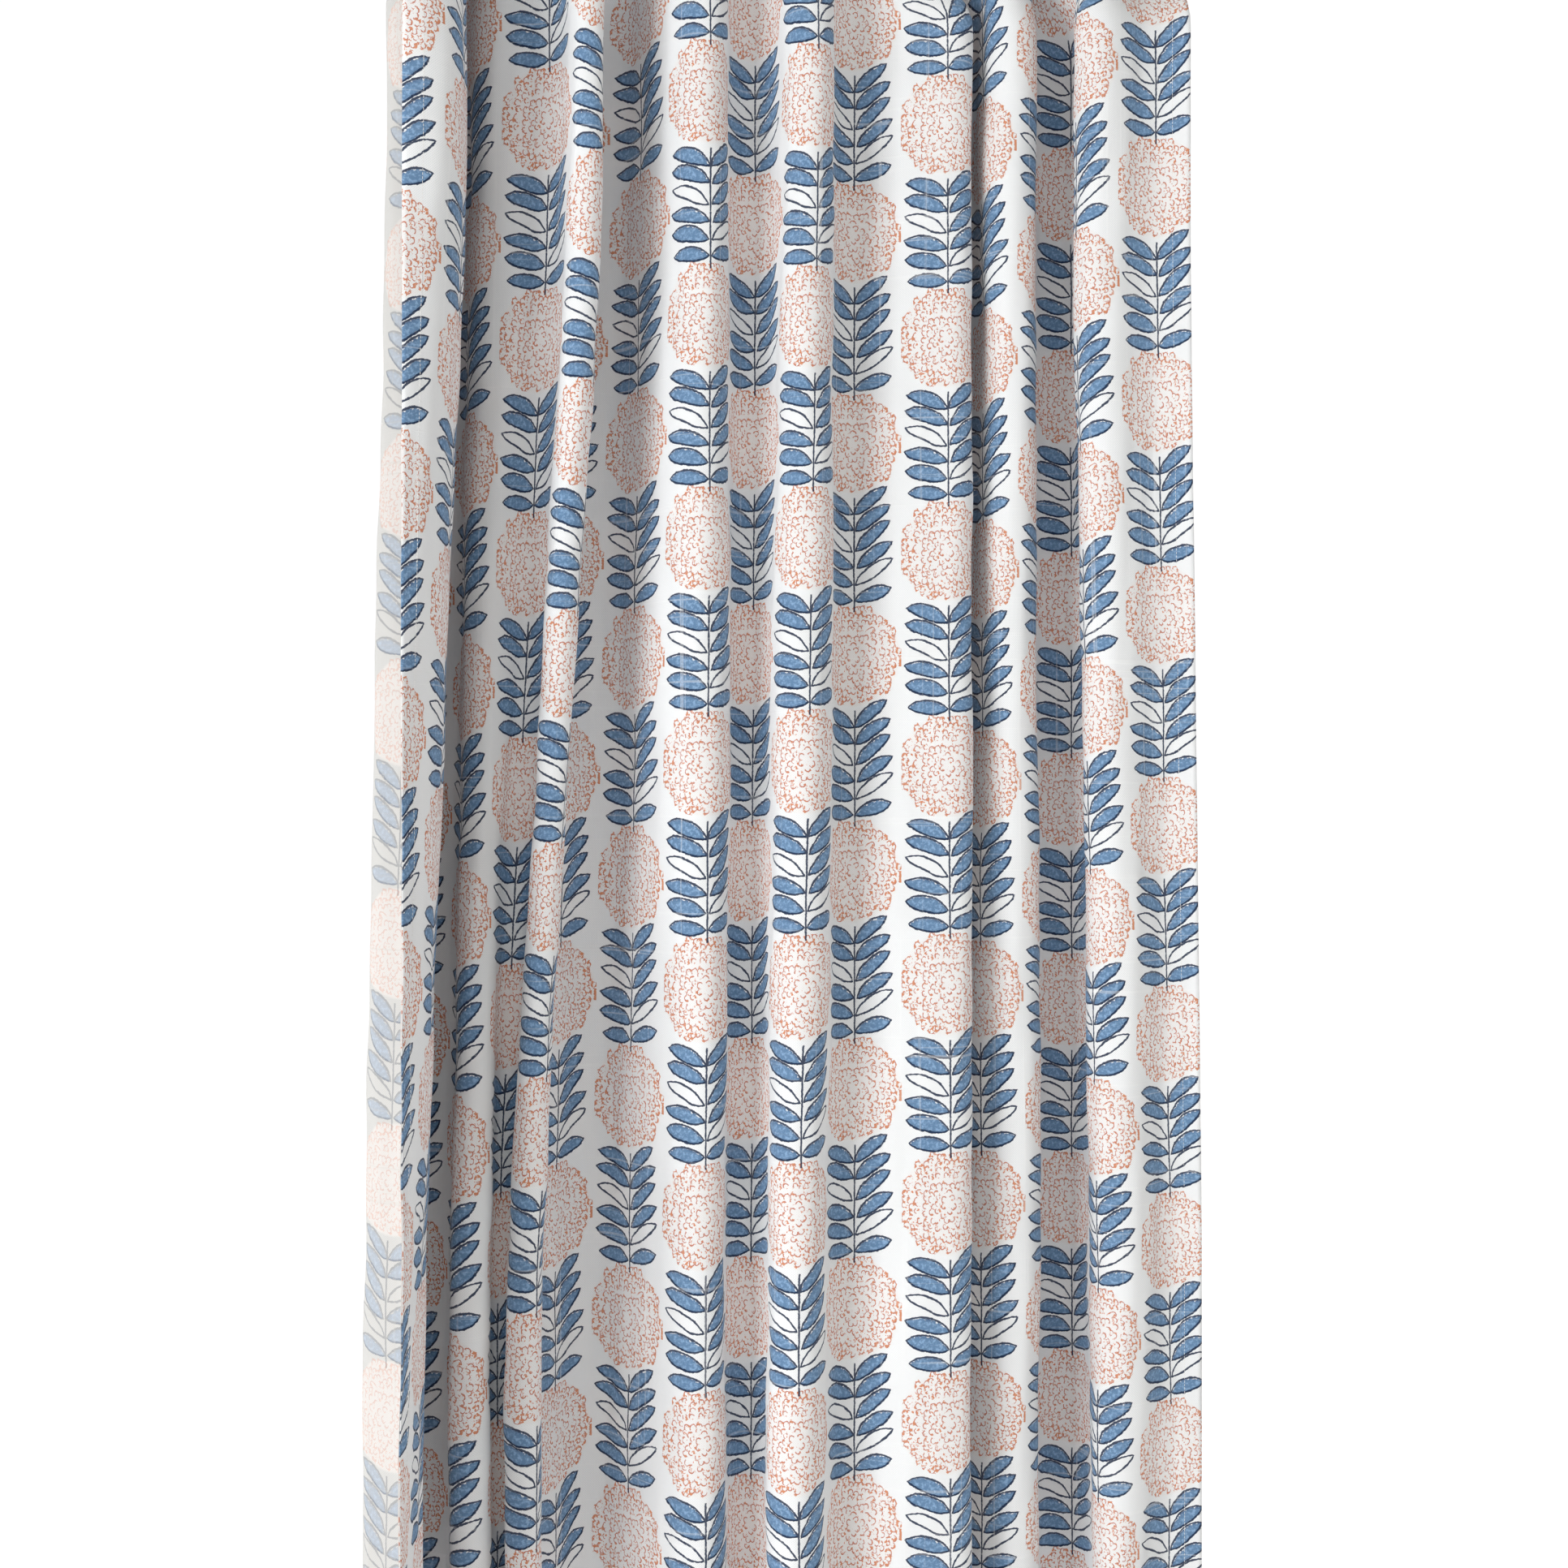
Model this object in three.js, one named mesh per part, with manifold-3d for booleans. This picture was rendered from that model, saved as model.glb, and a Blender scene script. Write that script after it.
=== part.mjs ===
// Shower curtain: an unlined printed cotton sheet with a doubled header, hung from twelve hinged wire rings.
// Units are millimetres and +Z is up. The origin is on the axis of the rod that the rings go over, half way
// along the hung curtain. +X runs along the rod, and the printed front of the cloth faces -Y.
import * as THREE from "three";
import { mergeVertices } from "three/addons/utils/BufferGeometryUtils.js";
import Module from "manifold-3d";

// ---- Driving dimensions ----

// Cloth, measured flat.
const CLOTH_WIDTH = 1830;
const CLOTH_LENGTH = 1830;
const CLOTH_THICKNESS = 0.8;
const HEM_THICKNESS = 1.6;
const HEADER_HEIGHT = 50;
const BOTTOM_HEM_HEIGHT = 50;
const SIDE_HEM_WIDTH = 20;

// Rod that the rings go over (not part of this model), and the rings.
const ROD_DIAMETER = 25.4;
const RING_RADIUS = 27;
const WIRE_DIAMETER = 4;
const RING_SPAN = 748;
const GATE_HALF_ANGLE = 45;
const CLASP_GAP = 0.6;

// Crimped two-piece eyelets in the header.
const EYELET_HOLE = 10.5;
const EYELET_FLANGE = 20;
const EYELET_SHEET = 0.7;
const EYELET_LIP = 1.2;
const EYELET_FROM_SIDE = 45;
const EYELET_FROM_TOP = 17;

// Hinge between a ring and its gate.
const HINGE_PIN_RADIUS = 0.9;
const HINGE_HOLE_RADIUS = 1.03;
const HINGE_EYE_RADIUS = 2.6;
const HINGE_EYE_THICKNESS = 1.6;
const HINGE_EAR_THICKNESS = 1.2;
const HINGE_SIDE_GAP = 0.3;

// Space left between pieces that touch.
const GAP = 0.3;

// Where the twelve rings stand along the rod, as shares of the span from the first to the last.
const RING_SHARES = [0, 0.078, 0.158, 0.238, 0.322, 0.412, 0.508, 0.61, 0.709, 0.805, 0.902, 1];

// Plan shape of the hanging folds at an upper and a lower height. Each row is a place across the cloth, as
// a share of its width, and the heading of the cloth there at each height in degrees: 0 runs along the rod,
// 90 runs straight back, -90 straight forward.
const FOLDS = [
  [0, 0, 75], [0.045, 75, 75], [0.1, 150, 135], [0.15, 30, 0], [0.195, -90, -105], [0.24, -15, 90],
  [0.275, -90, -120], [0.32, 120, 90], [0.36, 60, 45], [0.405, -75, -60], [0.44, -60, -60],
  [0.485, 75, 75], [0.535, -90, -105], [0.59, 75, 60], [0.63, -30, -30], [0.665, -30, -15],
  [0.705, 120, 135], [0.765, -105, -60], [0.83, 75, 75], [0.91, -135, -120], [0.965, 15, 30], [1, -45, -30],
];
// The place across the cloth that both shapes are located by, and where that place hangs in each.
const FOLD_ANCHOR_SHARE = 0.46;
const UPPER_ANCHOR = new THREE.Vector2(-78, -20);
const LOWER_ANCHOR = new THREE.Vector2(-88, -38);

// Heights of the two shapes, as shares of the cloth's length down from its top edge, and the share by which
// the gathers at the rings have turned into the upper shape.
const GATHER_END_SHARE = 0.095;
const UPPER_SHARE = 0.21;
const LOWER_SHARE = 0.76;

// How finely the cloth is divided.
const CURVE_STEP = 1;
const PANEL_COLUMNS = 128;
const PANEL_ROW_SHARES = [
  0.045, 0.06, 0.078, GATHER_END_SHARE, UPPER_SHARE, 0.35, 0.49, 0.63, LOWER_SHARE,
];
const BOW_COLUMNS = 10;
const ROUND_SIDES = 8;
const EYELET_SIDES = 10;

// ---- Sizes worked out from the driving dimensions ----

const WIRE_RADIUS = WIRE_DIAMETER / 2;
const RING_CENTRE_Z = ROD_DIAMETER / 2 + WIRE_RADIUS - RING_RADIUS;

// The cloth's faces at an eyelet, and the back of the eyelet's rolled lip.
const FRONT_OF_CLOTH = -HEM_THICKNESS / 2 - GAP;
const BACK_OF_CLOTH = HEM_THICKNESS / 2 + GAP;
const LIP_FRONT = BACK_OF_CLOTH + EYELET_SHEET + GAP;
const LIP_BACK = LIP_FRONT + EYELET_SHEET;

// The eyelet hangs on the wire: the flats of its bore clear the wire where it curves up at the lip.
const WIRE_RISE = RING_RADIUS - Math.sqrt(RING_RADIUS ** 2 - LIP_BACK ** 2);
const BORE_FLATS = (EYELET_HOLE / 2) * Math.cos(Math.PI / EYELET_SIDES);
const EYELET_Z = RING_CENTRE_Z - RING_RADIUS + WIRE_RADIUS + WIRE_RISE + GAP - BORE_FLATS;
const CLOTH_TOP_Z = EYELET_Z + EYELET_FROM_TOP;
const HEM_TOP = CLOTH_LENGTH - BOTTOM_HEM_HEIGHT;
const RING_COUNT = RING_SHARES.length;
const EYELET_PITCH = (CLOTH_WIDTH - 2 * EYELET_FROM_SIDE) / (RING_COUNT - 1);
const EYELET_FLAT = EYELET_FLANGE / 2 + 2;
const BARREL_RADIUS = EYELET_HOLE / 2 + EYELET_SHEET;
const GATE_HALF = THREE.MathUtils.degToRad(GATE_HALF_ANGLE);

const wasm = await Module();
wasm.setup();

// ---- Solids ----

// A closed geometry as a manifold-3d solid.
function solidOf(geometry) {
  const bare = geometry.clone();
  bare.deleteAttribute("normal");
  bare.deleteAttribute("uv");
  const merged = mergeVertices(bare, 1e-4);
  const triVerts = new Uint32Array(merged.index.array);
  const vertProperties = new Float32Array(merged.attributes.position.array);
  return new wasm.Manifold(new wasm.Mesh({ numProp: 3, vertProperties, triVerts }));
}

function geometryOf(solid) {
  const { vertProperties, triVerts } = solid.getMesh();
  const geometry = new THREE.BufferGeometry();
  geometry.setAttribute("position", new THREE.BufferAttribute(vertProperties, 3));
  geometry.setIndex(new THREE.BufferAttribute(triVerts, 1));
  geometry.computeVertexNormals();
  return geometry;
}

function joined(geometries) {
  return geometries.map(solidOf).reduce((all, one) => all.add(one));
}

// A round bar along X, centred on (x, y, z).
function barAlongX(radius, length, x, y, z) {
  const bar = new THREE.CylinderGeometry(radius, radius, length, ROUND_SIDES);
  return bar.rotateZ(Math.PI / 2).translate(x, y, z);
}

// A ring turned about the Y axis from a closed outline of [radius, y] corners.
function turnedAboutY(corners) {
  const outline = [...corners, corners[0]].map(([radius, y]) => new THREE.Vector2(radius, y));
  return new THREE.LatheGeometry(outline, EYELET_SIDES);
}

// An arc in the YZ plane about the X axis, from one angle to another, counted from +Y towards +Z.
class RingArc extends THREE.Curve {
  constructor(radius, from, to) {
    super();
    Object.assign(this, { radius, from, to });
  }
  getPoint(t, target = new THREE.Vector3()) {
    const angle = THREE.MathUtils.lerp(this.from, this.to, t);
    return target.set(0, this.radius * Math.cos(angle), this.radius * Math.sin(angle));
  }
}

function wireArc(from, to, steps) {
  const section = new THREE.Shape().absarc(0, 0, WIRE_RADIUS, 0, 2 * Math.PI);
  const extrudePath = new RingArc(RING_RADIUS, from, to);
  // An arc of a shape is divided into twice its curveSegments.
  return new THREE.ExtrudeGeometry(section, { steps, extrudePath, curveSegments: ROUND_SIDES / 2 });
}

// ---- Plan shape of the cloth ----

// Heading in radians at a place across the cloth, easing between the rows of a fold list.
function headingOf(folds) {
  return (share) => {
    const next = Math.max(1, folds.findIndex(([at]) => at >= share));
    const [from, a] = folds[next - 1];
    const [to, b] = folds[next];
    const eased = (1 - Math.cos((Math.PI * (share - from)) / (to - from))) / 2;
    return THREE.MathUtils.degToRad(a + (b - a) * eased);
  };
}

// The plan curve that a heading makes, as a function from flat distance to a point. The cloth keeps its
// length, and the place at anchorShare lies at anchor.
function curveOf(heading, anchorShare, anchor) {
  const steps = Math.ceil(CLOTH_WIDTH / CURVE_STEP);
  const step = CLOTH_WIDTH / steps;
  const points = [new THREE.Vector2()];
  for (let i = 0; i < steps; i++) {
    const angle = heading((i + 0.5) / steps);
    points.push(new THREE.Vector2(Math.cos(angle), Math.sin(angle)).multiplyScalar(step).add(points[i]));
  }
  const at = (distance) => {
    const place = Math.min(Math.max(distance / step, 0), steps);
    const i = Math.min(Math.floor(place), steps - 1);
    return points[i].clone().lerp(points[i + 1], place - i);
  };
  const shift = anchor.clone().sub(at(anchorShare * CLOTH_WIDTH));
  return (distance) => at(distance).add(shift);
}

// How far a bow's cloth gets along the rod when its sides lean by the given angle.
function bowReach(length, lean) {
  const heading = headingOf(bowFolds(0, 1, lean));
  const parts = 200;
  let sum = 0;
  for (let i = 0; i < parts; i++) sum += Math.cos(heading((i + 0.5) / parts));
  return (sum * length) / parts;
}

// The folds of one bow between two places: out to the lean, across to its opposite and back to 0.
function bowFolds(from, to, lean) {
  const side = 0.22 * (to - from);
  return [[from, 0], [from + side, lean], [to - side, -lean], [to, 0]];
}

// The lean that makes a bow of the given cloth length reach the given distance along the rod.
function leanOf(length, reach) {
  let [low, high] = [0, 150];
  for (let i = 0; i < 40; i++) {
    const middle = (low + high) / 2;
    if (bowReach(length, middle) > reach) low = middle;
    else high = middle;
  }
  return low;
}

const ringX = RING_SHARES.map((share) => (share - 0.5) * RING_SPAN);
const eyeletAt = ringX.map((_, i) => EYELET_FROM_SIDE + i * EYELET_PITCH);

// At the rings the cloth is flat across each eyelet and bows forward and back by turns between them.
function headerFolds() {
  const folds = [[0, 0]];
  for (let i = 0; i + 1 < RING_COUNT; i++) {
    const from = eyeletAt[i] + EYELET_FLAT;
    const to = eyeletAt[i + 1] - EYELET_FLAT;
    const lean = leanOf(to - from, ringX[i + 1] - ringX[i] - 2 * EYELET_FLAT);
    folds.push(...bowFolds(from / CLOTH_WIDTH, to / CLOTH_WIDTH, i % 2 ? lean : -lean));
  }
  return [...folds, [1, 0]];
}

const headerStart = new THREE.Vector2(ringX[0], 0);
const headerCurve = curveOf(headingOf(headerFolds()), eyeletAt[0] / CLOTH_WIDTH, headerStart);
const upperFolds = FOLDS.map(([at, upper]) => [at, upper]);
const lowerFolds = FOLDS.map(([at, , lower]) => [at, lower]);
const upperCurve = curveOf(headingOf(upperFolds), FOLD_ANCHOR_SHARE, UPPER_ANCHOR);
const lowerCurve = curveOf(headingOf(lowerFolds), FOLD_ANCHOR_SHARE, LOWER_ANCHOR);

function between(above, below, blend) {
  return (distance) => above(distance).lerp(below(distance), blend);
}

// The plan curve at a distance down from the cloth's top edge.
function planAt(down) {
  const share = down / CLOTH_LENGTH;
  if (share < GATHER_END_SHARE) {
    const gathered = THREE.MathUtils.smoothstep(share, HEADER_HEIGHT / CLOTH_LENGTH, GATHER_END_SHARE);
    return between(headerCurve, upperCurve, gathered);
  }
  const lowered = (share - UPPER_SHARE) / (LOWER_SHARE - UPPER_SHARE);
  return between(upperCurve, lowerCurve, THREE.MathUtils.clamp(lowered, 0, 1));
}

// A closed band of cloth: across holds flat distances from the left edge, downs holds distances from the top.
function clothBand(across, downs, thickness) {
  const corners = [];
  for (const down of downs) {
    const plan = planAt(down);
    for (const distance of across) {
      const tangent = plan(distance + CURVE_STEP).sub(plan(distance - CURVE_STEP)).normalize();
      const half = new THREE.Vector2(tangent.y, -tangent.x).multiplyScalar(thickness / 2);
      const middle = plan(distance);
      for (const point of [middle.clone().add(half), middle.clone().sub(half)])
        corners.push(point.x, point.y, CLOTH_TOP_Z - down);
    }
  }
  const columns = across.length;
  const at = (row, column, back) => 2 * (row * columns + column) + back;
  const faces = [];
  const quad = (a, b, c, d) => faces.push(a, b, c, a, c, d);
  for (let row = 0; row + 1 < downs.length; row++) {
    for (let column = 0; column + 1 < columns; column++) {
      const [r, c] = [row + 1, column + 1];
      quad(at(row, column, 0), at(r, column, 0), at(r, c, 0), at(row, c, 0));
      quad(at(row, column, 1), at(row, c, 1), at(r, c, 1), at(r, column, 1));
    }
    quad(at(row, 0, 0), at(row, 0, 1), at(row + 1, 0, 1), at(row + 1, 0, 0));
    const last = columns - 1;
    quad(at(row, last, 0), at(row + 1, last, 0), at(row + 1, last, 1), at(row, last, 1));
  }
  const bottom = downs.length - 1;
  for (let column = 0; column + 1 < columns; column++) {
    const c = column + 1;
    quad(at(0, column, 0), at(0, c, 0), at(0, c, 1), at(0, column, 1));
    quad(at(bottom, column, 0), at(bottom, column, 1), at(bottom, c, 1), at(bottom, c, 0));
  }
  const geometry = new THREE.BufferGeometry();
  geometry.setAttribute("position", new THREE.Float32BufferAttribute(corners, 3));
  geometry.setIndex(faces);
  geometry.computeVertexNormals();
  return geometry;
}

// Evenly spaced places from one flat distance to another.
function spread(from, to, parts) {
  return Array.from({ length: parts + 1 }, (_, i) => from + ((to - from) * i) / parts);
}

// ---- Cloth pieces ----

const panelLeft = SIDE_HEM_WIDTH + GAP;
const panelRight = CLOTH_WIDTH - SIDE_HEM_WIDTH - GAP;
const panelRows = [
  HEADER_HEIGHT + GAP,
  ...PANEL_ROW_SHARES.map((share) => share * CLOTH_LENGTH),
  HEM_TOP - GAP,
];

function panelGeometry() {
  return clothBand(spread(panelLeft, panelRight, PANEL_COLUMNS), panelRows, CLOTH_THICKNESS);
}

function sideHemGeometry(from, to) {
  return clothBand(spread(from, to, 1), panelRows, HEM_THICKNESS);
}

function bottomHemGeometry() {
  return clothBand(spread(0, CLOTH_WIDTH, PANEL_COLUMNS), [HEM_TOP, CLOTH_LENGTH], HEM_THICKNESS);
}

// The doubled header, with a hole for the barrel of each eyelet.
function headerGeometry() {
  const across = [0, ...eyeletAt.flatMap((at, i) => {
    const bow = i + 1 < RING_COUNT ? spread(at + EYELET_FLAT, eyeletAt[i + 1] - EYELET_FLAT, BOW_COLUMNS) : [];
    return [at - EYELET_FLAT, at + EYELET_FLAT, ...bow.slice(1, -1)];
  }), CLOTH_WIDTH];
  const band = solidOf(clothBand(across, [0, HEADER_HEIGHT], HEM_THICKNESS));
  const holes = ringX.map((x) => {
    const hole = new THREE.CylinderGeometry(BARREL_RADIUS + GAP, BARREL_RADIUS + GAP, 20, EYELET_SIDES);
    return solidOf(hole.translate(x, 0, EYELET_Z));
  });
  return geometryOf(holes.reduce((cut, hole) => cut.subtract(hole), band));
}

// ---- Ring, gate and eyelet, each about its own centre in a plane across the rod ----

// Front half: a flange before the cloth and a barrel through it, rolled over at the back.
function eyeletGeometry() {
  const bore = EYELET_HOLE / 2;
  return turnedAboutY([
    [bore, FRONT_OF_CLOTH - EYELET_SHEET],
    [EYELET_FLANGE / 2, FRONT_OF_CLOTH - EYELET_SHEET],
    [EYELET_FLANGE / 2, FRONT_OF_CLOTH],
    [BARREL_RADIUS, FRONT_OF_CLOTH],
    [BARREL_RADIUS, LIP_FRONT],
    [BARREL_RADIUS + EYELET_LIP, LIP_FRONT],
    [BARREL_RADIUS + EYELET_LIP, LIP_BACK],
    [bore, LIP_BACK],
  ]);
}

function washerGeometry() {
  const bore = BARREL_RADIUS + GAP;
  return turnedAboutY([
    [bore, BACK_OF_CLOTH],
    [EYELET_FLANGE / 2, BACK_OF_CLOTH],
    [EYELET_FLANGE / 2, BACK_OF_CLOTH + EYELET_SHEET],
    [bore, BACK_OF_CLOTH + EYELET_SHEET],
  ]);
}

const hinge = new THREE.Vector3(0, RING_RADIUS * Math.cos(GATE_HALF), -RING_RADIUS * Math.sin(GATE_HALF));
const hingeReach = HINGE_EYE_RADIUS + 2 * GAP;
const earCentreX = HINGE_EYE_THICKNESS / 2 + HINGE_SIDE_GAP + HINGE_EAR_THICKNESS / 2;
const hingeWidth = 2 * earCentreX + HINGE_EAR_THICKNESS;

// A flat tab from the hinge's centre towards the end of a wire: way is 1 for the gate's side, -1 for the ring's.
function hingeTab(x, thickness, way) {
  const length = hingeReach + WIRE_RADIUS / 2;
  const tab = new THREE.BoxGeometry(thickness, 1.6 * WIRE_RADIUS, length);
  return tab.translate(x, 0, (way * length) / 2).rotateX(-GATE_HALF).translate(0, hinge.y, hinge.z);
}

// The C-shaped ring, ending in the hinge's middle eye, which carries the pin.
function ringGeometry() {
  const reach = hingeReach / RING_RADIUS;
  const clasp = GATE_HALF + CLASP_GAP / 2 / RING_RADIUS;
  const wire = wireArc(clasp, 2 * Math.PI - GATE_HALF - reach, 12);
  const tab = hingeTab(0, HINGE_EYE_THICKNESS, -1);
  const eye = barAlongX(HINGE_EYE_RADIUS, HINGE_EYE_THICKNESS, 0, hinge.y, hinge.z);
  const pin = barAlongX(HINGE_PIN_RADIUS, hingeWidth, 0, hinge.y, hinge.z);
  return geometryOf(joined([wire, tab, eye, pin]));
}

// The gate that closes the ring, with an ear on each side of the ring's eye.
function gateGeometry() {
  const reach = hingeReach / RING_RADIUS;
  const clasp = GATE_HALF - CLASP_GAP / 2 / RING_RADIUS;
  const pieces = [wireArc(reach - GATE_HALF, clasp, 5)];
  for (const x of [-earCentreX, earCentreX]) {
    pieces.push(hingeTab(x, HINGE_EAR_THICKNESS, 1));
    pieces.push(barAlongX(HINGE_EYE_RADIUS, HINGE_EAR_THICKNESS, x, hinge.y, hinge.z));
  }
  const hole = barAlongX(HINGE_HOLE_RADIUS, 2 * hingeWidth, 0, hinge.y, hinge.z);
  return geometryOf(joined(pieces).subtract(solidOf(hole)));
}

// ---- Assembly ----

const cotton = { color: 0xece8df, roughness: 0.95, metalness: 0 };
const nickel = { color: 0xb9bbbd, roughness: 0.28, metalness: 1 };

function part(name, geometry, finish, parent, x = 0, z = 0) {
  const mesh = new THREE.Mesh(geometry, new THREE.MeshStandardMaterial(finish));
  mesh.name = name;
  mesh.position.set(x, 0, z);
  parent.add(mesh);
}

const curtain = new THREE.Group();
part("panel", panelGeometry(), cotton, curtain);
part("header", headerGeometry(), cotton, curtain);
part("bottom_hem", bottomHemGeometry(), cotton, curtain);
part("side_hem_left", sideHemGeometry(0, SIDE_HEM_WIDTH), cotton, curtain);
part("side_hem_right", sideHemGeometry(CLOTH_WIDTH - SIDE_HEM_WIDTH, CLOTH_WIDTH), cotton, curtain);

const shapes = {
  ring: ringGeometry(),
  gate: gateGeometry(),
  eyelet: eyeletGeometry(),
  washer: washerGeometry(),
};
ringX.forEach((x, i) => {
  const hanger = new THREE.Group();
  hanger.position.x = x;
  curtain.add(hanger);
  const number = String(i + 1).padStart(2, "0");
  part("ring_" + number, shapes.ring, nickel, hanger, 0, RING_CENTRE_Z);
  part("ring_gate_" + number, shapes.gate, nickel, hanger, 0, RING_CENTRE_Z);
  part("eyelet_" + number, shapes.eyelet, nickel, hanger, 0, EYELET_Z);
  part("eyelet_washer_" + number, shapes.washer, nickel, hanger, 0, EYELET_Z);
});

export default curtain;
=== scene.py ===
"""Shower curtain: an unlined cotton sheet with a botanical print, hung from twelve hinged wire rings.

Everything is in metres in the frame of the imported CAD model: X runs along the rod, the printed front faces -Y
and Z is up. The CAD holds the sizes; the cloth, hems, stitching and finishes are made here.
"""

import math

import bmesh
import bpy
import numpy as np
from mathutils import Matrix, Vector

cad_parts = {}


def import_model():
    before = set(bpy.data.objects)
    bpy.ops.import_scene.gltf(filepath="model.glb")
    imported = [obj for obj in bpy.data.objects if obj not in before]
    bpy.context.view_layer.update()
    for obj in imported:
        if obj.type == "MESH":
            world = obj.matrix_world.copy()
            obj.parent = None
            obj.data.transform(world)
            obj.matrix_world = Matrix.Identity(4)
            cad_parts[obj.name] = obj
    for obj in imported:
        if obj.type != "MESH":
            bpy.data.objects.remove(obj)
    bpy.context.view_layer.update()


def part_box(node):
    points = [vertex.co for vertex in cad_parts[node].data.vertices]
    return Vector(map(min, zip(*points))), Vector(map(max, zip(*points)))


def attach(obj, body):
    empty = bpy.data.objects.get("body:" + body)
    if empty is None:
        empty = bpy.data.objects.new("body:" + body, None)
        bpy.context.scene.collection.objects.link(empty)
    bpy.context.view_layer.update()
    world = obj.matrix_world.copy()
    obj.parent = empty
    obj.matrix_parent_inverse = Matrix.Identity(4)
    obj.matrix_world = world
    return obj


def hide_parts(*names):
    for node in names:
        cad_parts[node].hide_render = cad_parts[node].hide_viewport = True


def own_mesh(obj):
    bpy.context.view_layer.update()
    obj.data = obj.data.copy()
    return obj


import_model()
MM = 0.001

# ---- Sizes, as in the CAD, in millimetres ----

WIDTH, LENGTH = 1830.0, 1830.0
HEADER_HEIGHT, BOTTOM_HEM, SIDE_HEM = 50.0, 50.0, 20.0
ROD_DIAMETER, RING_RADIUS, WIRE_RADIUS, RING_SPAN = 25.4, 27.0, 2.0, 748.0
GATE_HALF = math.radians(45)
EYELET_HOLE, EYELET_FLANGE, EYELET_SHEET, EYELET_LIP = 10.5, 20.0, 0.7, 1.2
EYELET_FROM_SIDE, EYELET_FROM_TOP = 45.0, 17.0
RING_SHARES = [0, 0.078, 0.158, 0.238, 0.322, 0.412, 0.508, 0.61, 0.709, 0.805, 0.902, 1]
# Rows of share across the cloth, heading at the upper height and heading at the lower height.
FOLDS = [
    (0, 0, 75), (0.045, 75, 75), (0.1, 150, 135), (0.15, 30, 0), (0.195, -90, -105), (0.24, -15, 90),
    (0.275, -90, -120), (0.32, 120, 90), (0.36, 60, 45), (0.405, -75, -60), (0.44, -60, -60),
    (0.485, 75, 75), (0.535, -90, -105), (0.59, 75, 60), (0.63, -30, -30), (0.665, -30, -15),
    (0.705, 120, 135), (0.765, -105, -60), (0.83, 75, 75), (0.91, -135, -120), (0.965, 15, 30), (1, -45, -30),
]
ANCHOR_SHARE, UPPER_ANCHOR, LOWER_ANCHOR = 0.46, np.array([-78.0, -20.0]), np.array([-88.0, -38.0])
GATHER_END_SHARE, UPPER_SHARE, LOWER_SHARE = 0.095, 0.21, 0.76

RING_CENTRE_Z = ROD_DIAMETER / 2 + WIRE_RADIUS - RING_RADIUS
eyelet_low, eyelet_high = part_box("eyelet_01")
EYELET_Z = (eyelet_low.z + eyelet_high.z) / 2 / MM
TOP_Z = EYELET_Z + EYELET_FROM_TOP
RING_X = [(share - 0.5) * RING_SPAN for share in RING_SHARES]
RINGS = range(len(RING_X))
EYELET_PITCH = (WIDTH - 2 * EYELET_FROM_SIDE) / (len(RING_X) - 1)
EYELET_S = [EYELET_FROM_SIDE + i * EYELET_PITCH for i in RINGS]
EYELET_FLAT = EYELET_FLANGE / 2 + 2

# The cloth here: thickness of one layer, and how far each layer of a hem lies from the middle of both.
LAYER, LAYER_OFFSET = 0.55, 0.4


# ---- Plan shape of the folds ----

STEPS = 3660
BOW_SIDE_SHARE = 0.22  # of a bow's cloth, the part on each side of its middle run
ROUND_REACH = 60.0  # how far up and down the straight runs of the folds are rounded into each other
MIDS = (np.arange(STEPS) + 0.5) / STEPS
ENDS = np.arange(STEPS + 1) / STEPS * WIDTH


def heading(folds):
    """Heading in degrees at each step across the cloth, easing between the rows of a fold list."""
    at, turn = np.array(folds, float).T
    i = np.clip(np.searchsorted(at, MIDS), 1, len(at) - 1)
    t = (MIDS - at[i - 1]) / (at[i] - at[i - 1])
    return turn[i - 1] + (turn[i] - turn[i - 1]) * (1 - np.cos(np.pi * t)) / 2


def curve(degrees, share, anchor):
    """Plan points at ENDS of the curve with these headings, with the place at share lying at anchor."""
    turn = np.radians(degrees)
    step = np.stack([np.cos(turn), np.sin(turn)], 1) * (WIDTH / STEPS)
    points = np.vstack([[0, 0], np.cumsum(step, 0)])
    place = [np.interp(share * WIDTH, ENDS, points[:, k]) for k in (0, 1)]
    return points + (anchor - np.array(place))


def bow(start, end, lean):
    """The folds of one bow of cloth: out to the lean, across to its opposite and back to 0."""
    side = BOW_SIDE_SHARE * (end - start)
    return [(start, 0), (start + side, lean), (end - side, -lean), (end, 0)]


def lean_of(length, reach):
    """The lean at which a bow of that cloth length gets that far along the rod."""
    low, high = 0.0, 150.0
    for _ in range(40):
        middle = (low + high) / 2
        got = np.cos(np.radians(heading(bow(0, 1, middle)))).mean() * length
        low, high = (middle, high) if got > reach else (low, middle)
    return low


def header_folds():
    folds = [(0, 0)]
    for i in RINGS[:-1]:
        start, end = EYELET_S[i] + EYELET_FLAT, EYELET_S[i + 1] - EYELET_FLAT
        lean = lean_of(end - start, RING_X[i + 1] - RING_X[i] - 2 * EYELET_FLAT)
        folds += bow(start / WIDTH, end / WIDTH, lean if i % 2 else -lean)
    return folds + [(1, 0)]


HEADER_CURVE = curve(heading(header_folds()), EYELET_S[0] / WIDTH, np.array([RING_X[0], 0.0]))
UPPER_CURVE = curve(heading([(at, upper) for at, upper, _ in FOLDS]), ANCHOR_SHARE, UPPER_ANCHOR)
LOWER_CURVE = curve(heading([(at, lower) for at, _, lower in FOLDS]), ANCHOR_SHARE, LOWER_ANCHOR)


def smoothstep(x, low, high):
    t = np.clip((x - low) / (high - low), 0, 1)
    return t * t * (3 - 2 * t)


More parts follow.
